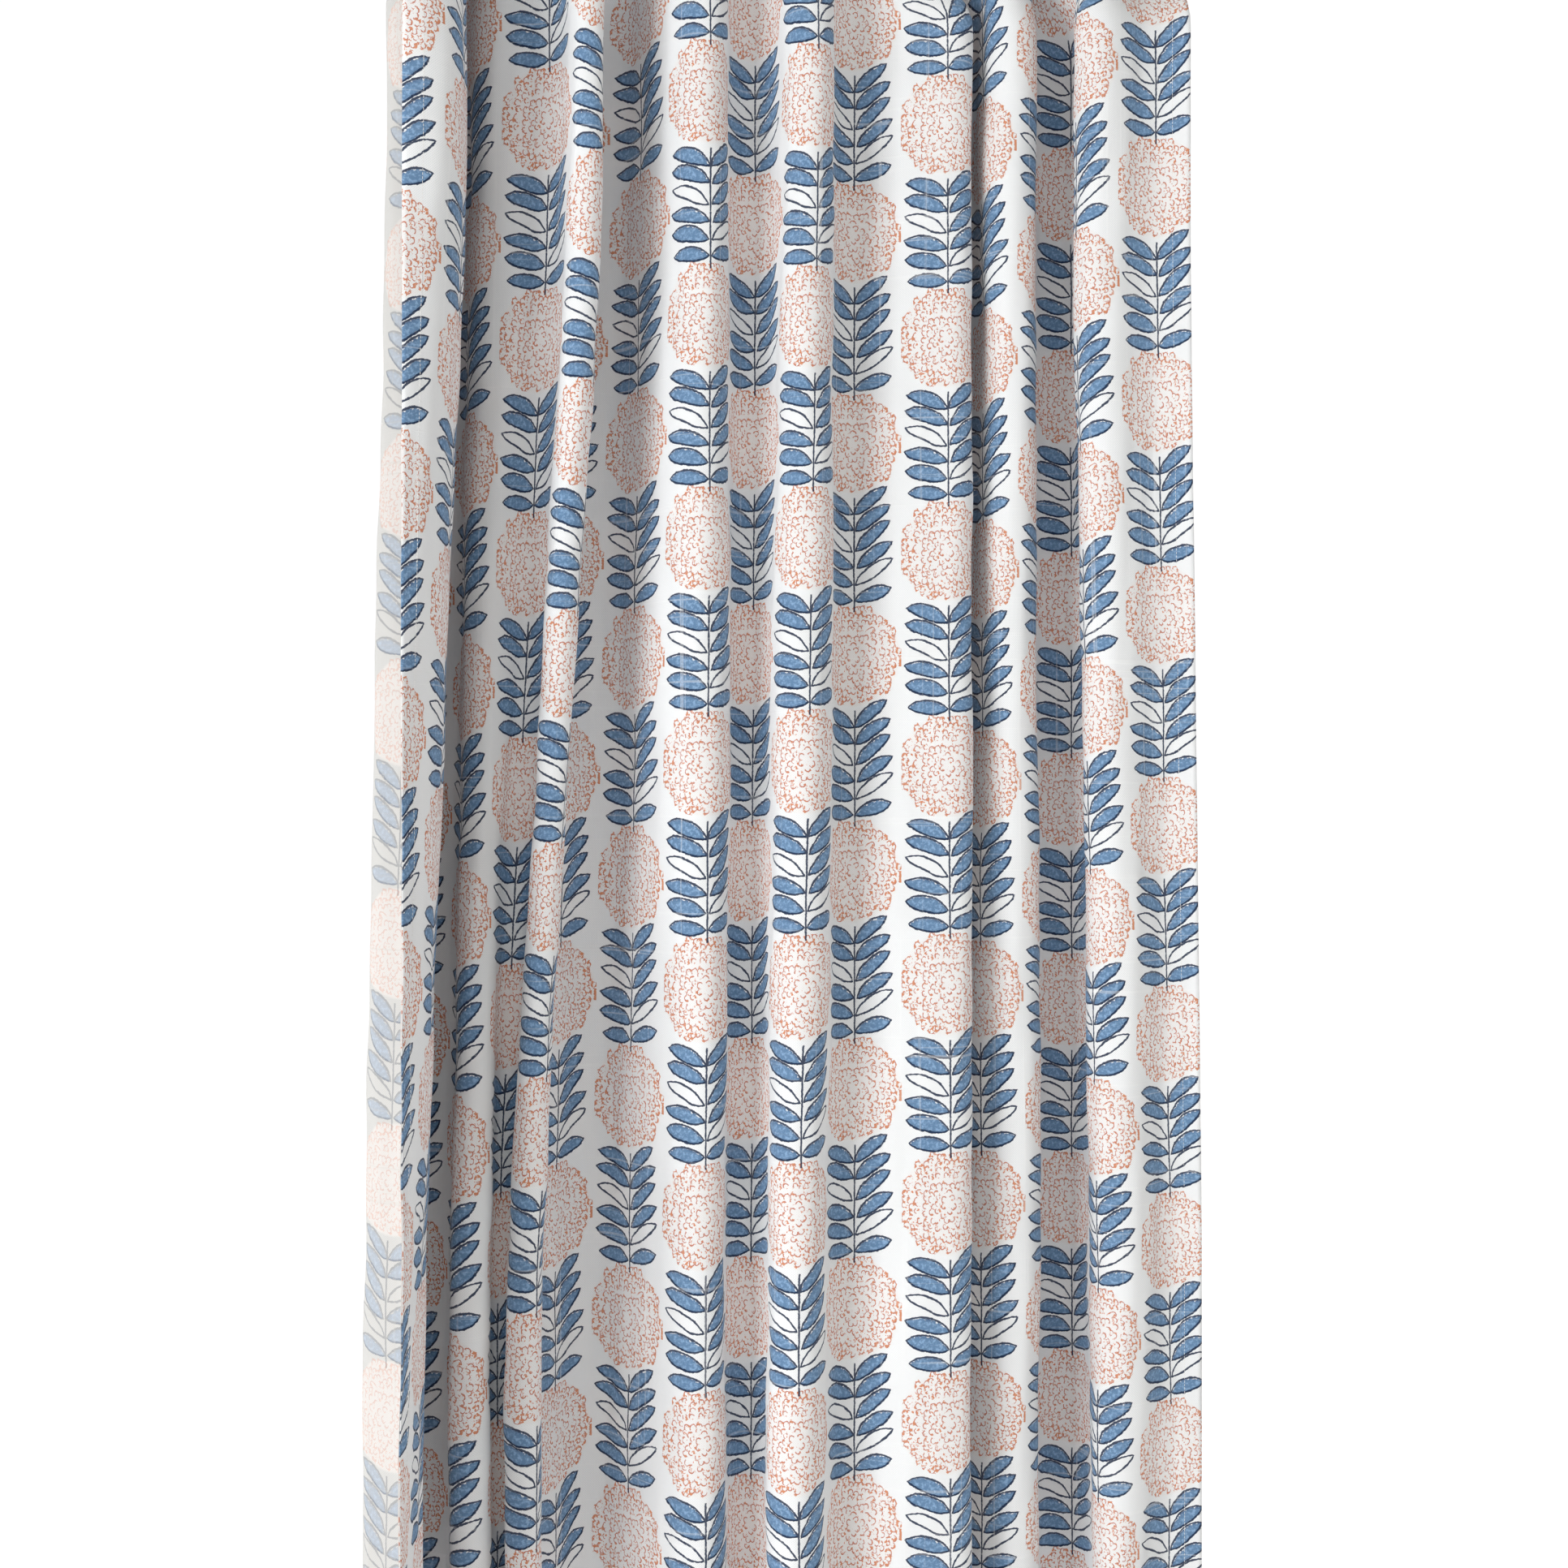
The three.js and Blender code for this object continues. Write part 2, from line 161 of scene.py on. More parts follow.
def plan_at(down):
    """Plan points at ENDS of the cloth at this distance below its top edge."""
    share = down / LENGTH
    if share < GATHER_END_SHARE:
        t = smoothstep(share, HEADER_HEIGHT / LENGTH, GATHER_END_SHARE)
        return HEADER_CURVE + (UPPER_CURVE - HEADER_CURVE) * t
    t = np.clip((share - UPPER_SHARE) / (LOWER_SHARE - UPPER_SHARE), 0, 1)
    return UPPER_CURVE + (LOWER_CURVE - UPPER_CURVE) * t


def ripples(s, d):
    """Small creases out of the cloth's own surface, longer down the cloth than across it."""
    rng = np.random.default_rng(7)
    total = np.zeros(np.broadcast(s, d).shape)
    for across, along, size in [(150, 900, 0.9), (80, 520, 0.55), (46, 300, 0.28), (120, 130, 0.3)] * 3:
        a, b = rng.normal(0, 2 * np.pi / across), rng.normal(0, 2 * np.pi / along)
        total += size * np.sin(a * s + b * d + rng.uniform(0, 6.3))
    return total * smoothstep(d, 60, 220)


class Cloth:
    """The hung cloth's middle surface on a fine grid, from which any point and its normal are read."""

    def __init__(self):
        self.s = np.linspace(0, WIDTH, 611)
        self.d = np.concatenate([
            np.arange(0, 60, 4.0), np.arange(60, 400, 10.0), np.linspace(400, LENGTH, 120),
        ])
        rows = []
        for d in self.d:
            reach = np.clip(d - GATHER_END_SHARE * LENGTH, 0, ROUND_REACH)
            plan = (plan_at(d - reach) + 2 * plan_at(d) + plan_at(d + reach)) / 4
            x, y = (np.interp(self.s, ENDS, plan[:, k]) for k in (0, 1))
            rows.append(np.stack([x, y, np.full_like(x, TOP_Z - d)], 1))
        points = np.array(rows)
        normals = self.normals(points)
        points += normals * ripples(self.s[None, :], self.d[:, None])[..., None]
        self.points, self.normal = points, self.normals(points)

    def normals(self, points):
        along = np.gradient(points, self.s, axis=1)
        down = np.gradient(points, self.d, axis=0)
        n = np.cross(down, along)
        return n / np.linalg.norm(n, axis=2, keepdims=True)

    def at(self, s, d, offset=0.0):
        """Points at flat places (s across, d down), offset towards the printed face, in metres."""
        s, d = np.broadcast_arrays(np.asarray(s, float), np.asarray(d, float))
        i = np.clip(np.searchsorted(self.s, s, side="right") - 1, 0, len(self.s) - 2)
        j = np.clip(np.searchsorted(self.d, d, side="right") - 1, 0, len(self.d) - 2)
        u = ((s - self.s[i]) / (self.s[i + 1] - self.s[i]))[..., None]
        v = ((d - self.d[j]) / (self.d[j + 1] - self.d[j]))[..., None]

        def mix(grid):
            top = grid[j, i] * (1 - u) + grid[j, i + 1] * u
            low = grid[j + 1, i] * (1 - u) + grid[j + 1, i + 1] * u
            return top * (1 - v) + low * v

        return (mix(self.points) + mix(self.normal) * np.asarray(offset)[..., None]) * MM


cloth = Cloth()


# ---- Mesh helpers ----

def new_object(name, mesh, *materials):
    thing = bpy.data.objects.new(name, mesh)
    bpy.context.scene.collection.objects.link(thing)
    for material in materials:
        mesh.materials.append(material)
    return thing


def mesh_of(name, points, faces, uvs=None, kinds=None):
    """A smooth mesh; uvs holds one place for each point, and kinds one material index for each face."""
    mesh = bpy.data.meshes.new(name)
    mesh.from_pydata([tuple(p) for p in points], [], [tuple(f) for f in faces])
    mesh.polygons.foreach_set("use_smooth", [True] * len(mesh.polygons))
    if kinds is not None:
        mesh.polygons.foreach_set("material_index", kinds)
    if uvs is not None:
        layer = mesh.uv_layers.new(name="flat")
        corners = np.zeros(len(mesh.loops), np.int32)
        mesh.loops.foreach_get("vertex_index", corners)
        layer.data.foreach_set("uv", np.asarray(uvs, np.float32)[corners].ravel())
    mesh.update()
    return mesh


def layer_mesh(name, s, d, offset, thickness, fabric=None, holes=()):
    """One layer of cloth over the flat places s by d, as a closed thin shell. fabric gives the flat places
    that the print is read from, and holes are the (s, d) centres of the eyelet holes."""
    s2, d2 = np.meshgrid(np.asarray(s, float), np.asarray(d, float))
    s2, d2 = s2.copy(), d2.copy()
    bore = EYELET_HOLE / 2 + EYELET_SHEET
    keep = np.ones((len(d) - 1, len(s) - 1), bool)
    for hs, hd in holes:
        away = np.hypot(s2 - hs, d2 - hd)
        pull = np.where(np.abs(away - bore) < 2.2, bore / np.maximum(away, 1e-6), 1.0)
        s2, d2 = hs + (s2 - hs) * pull, hd + (d2 - hd) * pull
        inside = np.hypot(s2 - hs, d2 - hd) < bore + 0.01
        keep &= ~(inside[:-1, :-1] & inside[1:, :-1] & inside[:-1, 1:] & inside[1:, 1:])
    front = cloth.at(s2, d2, offset + thickness / 2)
    back = cloth.at(s2, d2, offset - thickness / 2)
    count = s2.size
    points = np.vstack([front.reshape(-1, 3), back.reshape(-1, 3)])
    f_s, f_d = (s2, d2) if fabric is None else fabric(s2, d2)
    uv = np.stack([f_s.ravel() / WIDTH, 1 - f_d.ravel() / LENGTH], 1)
    index = np.arange(count).reshape(s2.shape)
    a, b, c, e = index[:-1, :-1], index[:-1, 1:], index[1:, 1:], index[1:, :-1]
    quads = np.stack([a, e, c, b], -1)[keep]
    faces = np.vstack([quads, quads[:, ::-1] + count])
    kinds = [0] * len(quads) + [1] * len(quads)
    edges = {}
    for quad in quads:
        for k in range(4):
            p, q = int(quad[k]), int(quad[(k + 1) % 4])
            if edges.pop((q, p), None) is None:
                edges[(p, q)] = True
    rim = [(q, p, p + count, q + count) for p, q in edges]
    kinds += [0] * len(rim)
    return mesh_of(name, points, faces.tolist() + rim, np.vstack([uv, uv]), kinds)


def side_faces(first, rings, sides):
    """Quads between neighbours in a run of rings of points, whose first point has the given index."""
    faces = []
    for low in range(first, first + (rings - 1) * sides, sides):
        for k in range(sides):
            m = (k + 1) % sides
            faces.append((low + k, low + m, low + sides + m, low + sides + k))
    return faces


def lathe(profile, sides, axis):
    """(points, faces) of a closed ring or solid turned from (radius, along) corners about X or Y."""
    turn = np.arange(sides) / sides * 2 * math.pi
    r, along = np.array(profile, float).T
    if axis == "Y":
        cells = [np.stack([r * math.cos(t), along, r * math.sin(t)], 1) for t in turn]
    else:
        cells = [np.stack([along, r * math.cos(t), -r * math.sin(t)], 1) for t in turn]
    points, n = np.vstack(cells), len(profile)
    faces = []
    for i in range(sides):
        for k in range(n):
            j, m = (i + 1) % sides, (k + 1) % n
            faces.append((i * n + k, i * n + m, j * n + m, j * n + k))
    return points, faces


DOME_RISE, DOME_ANGLES = 0.7, (0.5, 1.0, 1.35)


def tube(path, radius, sides):
    """(points, faces) of a round wire in the YZ plane with domed ends."""
    path = np.array(path, float)
    tangent = np.gradient(path, axis=0)
    tangent /= np.linalg.norm(tangent, axis=1, keepdims=True)
    side = np.array([1.0, 0, 0])
    domes = []
    for end, way in ((0, -1), (-1, 1)):
        rise = way * tangent[end] * radius * DOME_RISE
        domes.append([(path[end] + rise * math.sin(a), tangent[end], math.cos(a)) for a in DOME_ANGLES])
    stations = domes[0][::-1] + [(p, t, 1.0) for p, t in zip(path, tangent)] + domes[1]
    points = []
    for centre, t, shrink in stations:
        up = np.cross(t, side)
        for k in range(sides):
            a = 2 * math.pi * k / sides
            points.append(centre + radius * shrink * (math.cos(a) * side + math.sin(a) * up))
    faces = side_faces(0, len(stations), sides)
    faces.append(tuple(range(sides))[::-1])
    faces.append(tuple((len(stations) - 1) * sides + k for k in range(sides)))
    return points, faces


def joined(*parts):
    points, faces = [], []
    for p, f in parts:
        faces += [tuple(i + len(points) for i in face) for face in f]
        points += [tuple(x) for x in p]
    return points, faces


# ---- Shader graph helper ----

class Graph:
    """Shader nodes from plain calls. A number given for an input is set on the socket itself."""

    def __init__(self, tree):
        self.tree = tree
        tree.nodes.clear()

    def node(self, kind, inputs=(), **settings):
        made = self.tree.nodes.new("ShaderNode" + kind)
        for key, value in settings.items():
            setattr(made, key, value)
        for key, value in dict(inputs).items():
            self.put(made.inputs[key], value)
        return made

    def put(self, socket, value):
        if isinstance(value, bpy.types.NodeSocket):
            self.tree.links.new(value, socket)
        else:
            socket.default_value = value

    def math(self, operation, a, b=0.0, c=0.0):
        made = self.node("Math", operation=operation)
        for socket, value in zip(made.inputs, (a, b, c)):
            self.put(socket, value)
        return made.outputs[0]

    def add(self, a, b):
        return self.math("ADD", a, b)

    def sub(self, a, b):
        return self.math("SUBTRACT", a, b)

    def mul(self, a, b):
        return self.math("MULTIPLY", a, b)

    def top(self, a, b):
        return self.math("MAXIMUM", a, b)

    def low(self, a, b):
        return self.math("MINIMUM", a, b)

    def hypot(self, a, b):
        return self.math("SQRT", self.add(self.mul(a, a), self.mul(b, b)))

    def dot(self, vector, numbers):
        made = self.node("VectorMath", operation="DOT_PRODUCT")
        self.put(made.inputs[0], vector)
        self.put(made.inputs[1], numbers)
        return made.outputs["Value"]

    def combine(self, x, y, z=0.0):
        return self.node("CombineXYZ", {"X": x, "Y": y, "Z": z}).outputs[0]

    def split(self, vector):
        return self.node("SeparateXYZ", {"Vector": vector}).outputs

    def ramp(self, value, low, high, to_low=0.0, to_high=1.0):
        made = self.node("MapRange", interpolation_type="SMOOTHSTEP")
        names = ("Value", "From Min", "From Max", "To Min", "To Max")
        for name, number in zip(names, (value, low, high, to_low, to_high)):
            self.put(made.inputs[name], number)
        return made.outputs[0]

    def noise(self, vector, scale, detail=1.0, dimensions="2D", rough=0.5):
        settings = {"Vector": vector, "Scale": scale, "Detail": detail, "Roughness": rough}
        return self.node("TexNoise", settings, noise_dimensions=dimensions).outputs

    def mix(self, share, a, b, blend="MIX"):
        made = self.node("Mix", data_type="RGBA", blend_type=blend)
        self.put(made.inputs[0], share)
        self.put(made.inputs[6], a)
        self.put(made.inputs[7], b)
        return made.outputs[2]


def colour(red, green, blue):
    """A display colour, 0 to 255 a channel, as the linear colour that shaders take."""
    shares = [channel / 255 for channel in (red, green, blue)]
    linear = [share / 12.92 if share <= 0.04 else ((share + 0.055) / 1.055) ** 2.4 for share in shares]
    return (*linear, 1.0)


def new_material(name):
    """A material with an empty shader graph, and the graph."""
    material = bpy.data.materials.new(name)
    material.use_nodes = True
    return material, Graph(material.node_tree)


# ---- The print ----

# The print repeats in columns, with every second column half a repeat lower. One repeat is a stem with
# six leaves a side and a round flower head under it. Lengths are in millimetres of flat cloth.
COLUMN, REPEAT, FIRST_STEM = 95.0, 215.0, 85.0
STEM_LENGTH, LEAF_RISE, FLOWER_AT, FLOWER_RADIUS, SCALLOP = 116.0, 22.0, 160.0, 49.0, 6.5
PRINT_LEVEL = 940.0  # distance down the cloth where the bowed rows are counted from
# Leaves: base (across, down), tip (across, down), width, bend of its middle line, filled.
LEAVES = [
    ((-0.5, 17), (-42, 2), 13.5, 2.6, True), ((-1, 33), (-44, 18), 14.0, 2.4, True),
    ((-2, 55), (-43, 36), 12.0, 2.4, False), ((-1.5, 71), (-44, 60), 14.5, 1.8, True),
    ((-1.5, 88), (-43.5, 79), 14.5, 1.4, True), ((-1.5, 104), (-40, 101), 14.0, 0.6, True),
    ((0.5, 17), (32.5, -10), 12.5, 1.6, True), ((1.5, 34), (35.5, 8), 12.5, 1.6, True),
    ((2, 54), (36, 24), 12.5, 1.4, True), ((2.5, 71), (38, 46), 13.0, 1.4, True),
    ((1.5, 88), (38.5, 63), 11.5, 1.6, False), ((1, 104), (37, 92), 13.5, 1.0, True),
]
WEAVE_PITCH = 2.3
GRAIN_SHIFT, WAVER = 0.9, 3.0  # how far the thread's grain and the drawing hand move a line
# The print's rows bow up across the cloth: how high they hang at the first column, at their highest and at
# the last column, in repeats, and the highest place as a share of the way from the first to the last.
LAST_COLUMN = 18
BOW_LEFT, BOW_HIGH, BOW_RIGHT, BOW_HIGH_AT = 0.75, 1.1, 0.8, 0.55

BLUE, LIGHT_BLUE = colour(96, 135, 174), colour(140, 176, 212)
DEEP_BLUE, NAVY = colour(66, 98, 138), colour(28, 46, 76)
RUST, ORANGE, BLUSH = colour(196, 104, 66), colour(218, 130, 74), colour(247, 236, 230)
# The wrong side's base colour, a grey darker than the cloth itself, is painted shade for a back that lies in
# shadow.
COTTON, COTTON_GAP, PAINTED_SHADE_COTTON_BACK = colour(252, 253, 253), colour(218, 222, 227), colour(204, 202, 198)


def cloth_coordinates(g):
    """Flat places in millimetres: across from the left edge, and down from the top edge."""
    uv = g.split(g.node("UVMap", uv_map="flat").outputs[0])
    return g.mul(uv[0], WIDTH), g.mul(g.sub(1.0, uv[1]), LENGTH)


def leaf_fields(g, p, q):
    """(outline, fill): how far the nearest leaf's edge is, and a value above 0 inside a filled leaf."""
    place = g.combine(p, q, 1.0)
    outline = fill = None
    for (bx, by), (tx, ty), width, bend, filled in LEAVES:
        dx, dy = tx - bx, ty - by
        length = math.hypot(dx, dy)
        ux, uy = dx / length / length, dy / length / length
        nx, ny = dy / length, -dx / length
        if ny > 0:
            nx, ny = -nx, -ny
        along = g.dot(place, (ux, uy, -(bx * ux + by * uy)))
        rest = g.dot(place, (-ux, -uy, 1 + bx * ux + by * uy))
        aside = g.dot(place, (nx, ny, -(bx * nx + by * ny)))
        lens = g.mul(along, rest)
        bent = g.math("MULTIPLY_ADD", lens, -4 * bend, aside)
        half = g.mul(lens, g.math("MULTIPLY_ADD", lens, -4 * width, 3 * width))
        edge = g.math("ABSOLUTE", g.sub(half, g.math("ABSOLUTE", bent)))
        outline = edge if outline is None else g.low(outline, edge)
        if filled:
            inside = g.sub(half, g.math("ABSOLUTE", g.add(bent, 0.7)))
            fill = inside if fill is None else g.top(fill, inside)
    return outline, fill


def flower_fields(g, p, q, rough):
    """Small open scallops strewn over the flower, each bowed away from its centre: (line, blot, head)."""
    x, y = g.add(p, 1.5), g.mul(g.sub(q, FLOWER_AT), 0.935)
    place = g.combine(x, y)
    settings = {"Vector": place, "Scale": 1 / SCALLOP, "Randomness": 0.72}
    cells = g.node("TexVoronoi", settings, voronoi_dimensions="2D")
    centre = g.split(cells.outputs["Position"])
    jitter = g.split(cells.outputs["Color"])
    out = g.hypot(centre[0], centre[1])
    dx, dy = g.sub(x, centre[0]), g.mul(g.sub(y, centre[1]), 0.9)
    reach = g.hypot(dx, dy)
    turned = g.math("DIVIDE", g.add(g.mul(dx, centre[0]), g.mul(dy, centre[1])), g.top(out, 1.0))
    open_side = g.ramp(g.math("MULTIPLY_ADD", jitter[0], 1.2, turned), -0.2, 0.4)
    off = g.math("ABSOLUTE", g.sub(reach, g.math("MULTIPLY_ADD", jitter[1], 0.7, 2.0)))
    rim = g.ramp(out, 20.0, FLOWER_RADIUS)
    blot = g.ramp(g.math("MULTIPLY_ADD", rim, 0.085, rough), 0.615, 0.68)
    line = g.math("MULTIPLY_ADD", blot, 1.2, g.math("MULTIPLY_ADD", rough, 0.8, 0.08))
    arc = g.mul(g.ramp(g.sub(line, off), -0.2, 0.22), g.top(open_side, blot))
    within = g.math("LESS_THAN", out, FLOWER_RADIUS - 1)
    head = g.ramp(g.hypot(x, y), FLOWER_RADIUS, FLOWER_RADIUS - 3)
    return g.mul(arc, within), g.mul(blot, within), head


def cotton(name, shaded_wrong_side=False):
    """Printed slub cotton. The wrong side shows the print faintly, as ink that has come through, on a grey base
    that is painted shade.
    """
    material, g = new_material(name)
    s, d = cloth_coordinates(g)
    flat = g.combine(s, d)
    grain = g.split(g.noise(flat, 0.42, 1.0)["Color"])

    # Which column, and where in its repeat.
    column = g.math("FLOOR", g.mul(g.sub(s, FIRST_STEM - COLUMN / 2), 1 / COLUMN))
    odd = g.math("FRACT", g.mul(column, 0.5))
    stem_at = g.math("MULTIPLY_ADD", column, COLUMN, FIRST_STEM + GRAIN_SHIFT / 2)
    p = g.sub(g.math("MULTIPLY_ADD", grain[0], GRAIN_SHIFT, s), stem_at)
    arch = g.node("FloatCurve", {"Value": g.mul(column, 1 / LAST_COLUMN)})
    points = arch.mapping.curves[0].points
    points[0].location, points[1].location = (0, BOW_LEFT / 2), (1, BOW_RIGHT / 2)
    points.new(BOW_HIGH_AT, BOW_HIGH / 2)
    arch.mapping.update()
    level = g.add(odd, g.mul(arch.outputs[0], 2.0))
    height = g.mul(g.sub(PRINT_LEVEL, g.math("MULTIPLY_ADD", grain[1], GRAIN_SHIFT, d)), 1 / REPEAT)
    turn = g.add(g.sub(level, height), FLOWER_AT / REPEAT)
    q = g.mul(g.math("FRACT", turn), REPEAT)
    leaf_q = g.sub(g.mul(g.math("FRACT", g.add(turn, LEAF_RISE / REPEAT)), REPEAT), LEAF_RISE)

    def wavering(down):
        """Noise at a place in the repeat, which differs in odd columns, and the place moved by it."""
        noise = g.noise(g.combine(p, g.math("MULTIPLY_ADD", odd, 500.0, down)), 0.055, 2.0)
        shift = g.split(noise["Color"])
        moved_p = g.math("MULTIPLY_ADD", shift[0], WAVER, g.sub(p, WAVER / 2))
        return shift, moved_p, g.math("MULTIPLY_ADD", shift[1], WAVER, g.sub(down, WAVER / 2))

    drawn, wp, wq = wavering(q)
    _, leaf_wp, leaf_wq = wavering(leaf_q)
    ink = g.split(g.noise(g.combine(p, q), 0.28, 2.0, rough=0.65)["Color"])

    outline, fill = leaf_fields(g, leaf_wp, leaf_wq)
    pen = g.math("MULTIPLY_ADD", ink[0], 1.3, 0.35)
    stem_side = g.math("ABSOLUTE", g.math("MULTIPLY_ADD", drawn[2], 1.2, g.sub(p, 0.6)))
    stem_end = g.low(q, g.sub(STEM_LENGTH, q))
    stem = g.mul(g.ramp(g.sub(0.85, stem_side), -0.3, 0.3), g.ramp(stem_end, -0.5, 0.5))
    pen_line = g.top(g.ramp(g.sub(pen, outline), -0.25, 0.25), stem)
    missed = g.mul(g.ramp(fill, 2.2, 0.7), g.ramp(ink[1], 0.55, 0.64))
    filled = g.mul(g.ramp(fill, 0.0, 0.5), g.sub(1.0, missed))
    arcs, blots, head = flower_fields(g, wp, wq, ink[2])

    # Bare cloth: thin gaps of the open weave, and slub threads thicker than the rest.
    weft = g.ramp(g.noise(g.combine(g.mul(s, 0.012), d), 0.16, 2.0, rough=0.8)["Fac"], 0.62, 0.74)
    warp = g.ramp(g.noise(g.combine(s, g.mul(d, 0.008)), 0.12, 2.0, rough=0.8)["Fac"], 0.64, 0.76)
    slub = g.top(weft, warp)
    weave = 2 * math.pi / WEAVE_PITCH
    dots = g.mul(g.math("SINE", g.mul(s, weave)), g.math("SINE", g.mul(d, weave)))
    gaps = g.mul(g.ramp(dots, 0.2, 0.9), g.sub(1.0, slub))

    # On the wrong side the bare cloth takes the darker grey base: painted shade.
    bare_or_shaded = PAINTED_SHADE_COTTON_BACK if shaded_wrong_side else COTTON
    ground = g.mix(g.mul(gaps, 0.6), bare_or_shaded, COTTON_GAP)
    ground = g.mix(g.mul(head, 0.3), ground, BLUSH)
    petals = g.mix(blots, RUST, ORANGE)
    shown = g.mix(g.mul(arcs, 0.3 if shaded_wrong_side else 0.9), ground, petals)
    blue = g.mix(g.ramp(ink[0], 0.42, 0.7), BLUE, LIGHT_BLUE)
    blue = g.mix(g.mul(g.ramp(fill, 3.4, 0.4), g.ramp(drawn[2], 0.3, 0.7, 0.2, 0.9)), blue, DEEP_BLUE)
    shown = g.mix(g.mul(filled, 0.36 if shaded_wrong_side else 0.96), shown, blue)
    shown = g.mix(g.mul(pen_line, 0.36 if shaded_wrong_side else 0.95), shown, NAVY)
    # Slub threads take less ink.
    shown = g.mix(g.mul(slub, 0.26), shown, bare_or_shaded)

    height = g.math("MULTIPLY_ADD", slub, 0.6, g.math("MULTIPLY_ADD", gaps, -0.5, g.mul(grain[2], 0.5)))
    bump = g.node("Bump", {"Strength": 0.35, "Distance": 0.0004, "Height": height})
    surface = g.node("BsdfPrincipled", {"Base Color": shown, "Roughness": 0.92, "Normal": bump.outputs[0]})
    surface.inputs["Sheen Weight"].default_value = 0.12
    surface.inputs["Sheen Roughness"].default_value = 0.5
    surface.inputs["Specular IOR Level"].default_value = 0.2
    through = g.node("BsdfTranslucent", {"Color": shown})
    both = g.node("MixShader", {0: 0.12, 1: surface.outputs[0], 2: through.outputs[0]})
    out = g.node("OutputMaterial")
    g.put(out.inputs["Surface"], both.outputs[0])
    return material


def thread_material():
    material, g = new_material("sewing_thread")
    place = g.node("TexCoord").outputs["Object"]
    twist = g.noise(place, 2500.0, 1.0, "3D")["Fac"]
    shade = g.mix(twist, colour(238, 236, 230), colour(252, 251, 248))
    surface = g.node("BsdfPrincipled", {"Base Color": shade, "Roughness": 0.7})
    g.put(g.node("OutputMaterial").inputs["Surface"], surface.outputs[0])
    return material


def nickel_material(name, tint, brushed):
    material, g = new_material(name)
    place = g.node("TexCoord").outputs["Object"]
    cloud = g.noise(place, 60.0, 3.0, "3D")["Fac"]
    fine = g.noise(place, 900.0, 2.0, "3D")["Fac"]
    shade = g.mix(g.ramp(cloud, 0.35, 0.7), tint, tuple(c * 0.86 for c in tint[:3]) + (1.0,))
    rough = g.ramp(g.math("MULTIPLY_ADD", fine, 0.5, g.mul(cloud, 0.5)), 0.3, 0.7, brushed, brushed + 0.16)
    bump = g.node("Bump", {"Strength": 0.12, "Distance": 0.0002, "Height": fine})
    surface = g.node("BsdfPrincipled", {"Base Color": shade, "Roughness": rough, "Normal": bump.outputs[0]})
    surface.inputs["Metallic"].default_value = 1.0
    g.put(g.node("OutputMaterial").inputs["Surface"], surface.outputs[0])
    return material


# The wrong side's material carries the painted shade of its grey base, as well as the ink that has come
# through.
PRINT, WRONG_SHADED = cotton("printed_cotton"), cotton("printed_cotton_back_shaded", shaded_wrong_side=True)
THREAD = thread_material()
RING_METAL = nickel_material("ring_nickel", (0.60, 0.60, 0.61, 1.0), 0.2)
EYELET_METAL = nickel_material("eyelet_nickel", (0.66, 0.66, 0.66, 1.0), 0.24)


# ---- Cloth pieces ----

HOLES = [(s, EYELET_FROM_TOP) for s in EYELET_S]
columns = np.linspace(0, WIDTH, 421)
header_rows = np.arange(0, HEADER_HEIGHT, 4.0)
rows = np.concatenate([header_rows, np.linspace(52, 380, 24), np.linspace(398, LENGTH, 80)])


def cloth_piece(name, mesh, front, back, slot, *nodes):
    piece = new_object(name, mesh, front, back)
    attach(piece, "cloth")
    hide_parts(*nodes)
    return piece


curtain = cloth_piece(
    "curtain_cloth", layer_mesh("curtain_cloth", columns, rows, LAYER_OFFSET, LAYER, holes=HOLES),
    PRINT, WRONG_SHADED, "printed_cotton", "panel",
)

# Turned-over hems: each lies on the back of the cloth and shows its printed face there, because it is the
# cloth beyond the edge folded over.


def flap(name, s, d, fabric, node, holes=()):
    mesh = layer_mesh(name, s, d, -LAYER_OFFSET, LAYER, fabric, holes)
    return cloth_piece(name, mesh, WRONG_SHADED, PRINT, "hem_cotton", node)


header_fold = flap(
    "header_fold", columns, np.linspace(0, HEADER_HEIGHT, 14), lambda s, d: (s, -d), "header", HOLES,
)
bottom_fold = flap(
    "bottom_hem_fold", columns, np.linspace(LENGTH - BOTTOM_HEM, LENGTH, 6),
    lambda s, d: (s, 2 * LENGTH - d), "bottom_hem",
)
inner_rows = rows[(rows > HEADER_HEIGHT) & (rows < LENGTH - BOTTOM_HEM)]
side_rows = np.concatenate([[HEADER_HEIGHT + 0.5], inner_rows, [LENGTH - BOTTOM_HEM - 0.5]])
left_fold = flap(
    "side_hem_left_fold", np.linspace(0, SIDE_HEM, 7), side_rows, lambda s, d: (-s, d), "side_hem_left",
)
right_fold = flap(
    "side_hem_right_fold", np.linspace(WIDTH - SIDE_HEM, WIDTH, 7), side_rows,
    lambda s, d: (2 * WIDTH - s, d), "side_hem_right",
)


STITCH_LENGTH, STITCH_PITCH, THREAD_RADIUS = 2.7, 3.6, 0.24


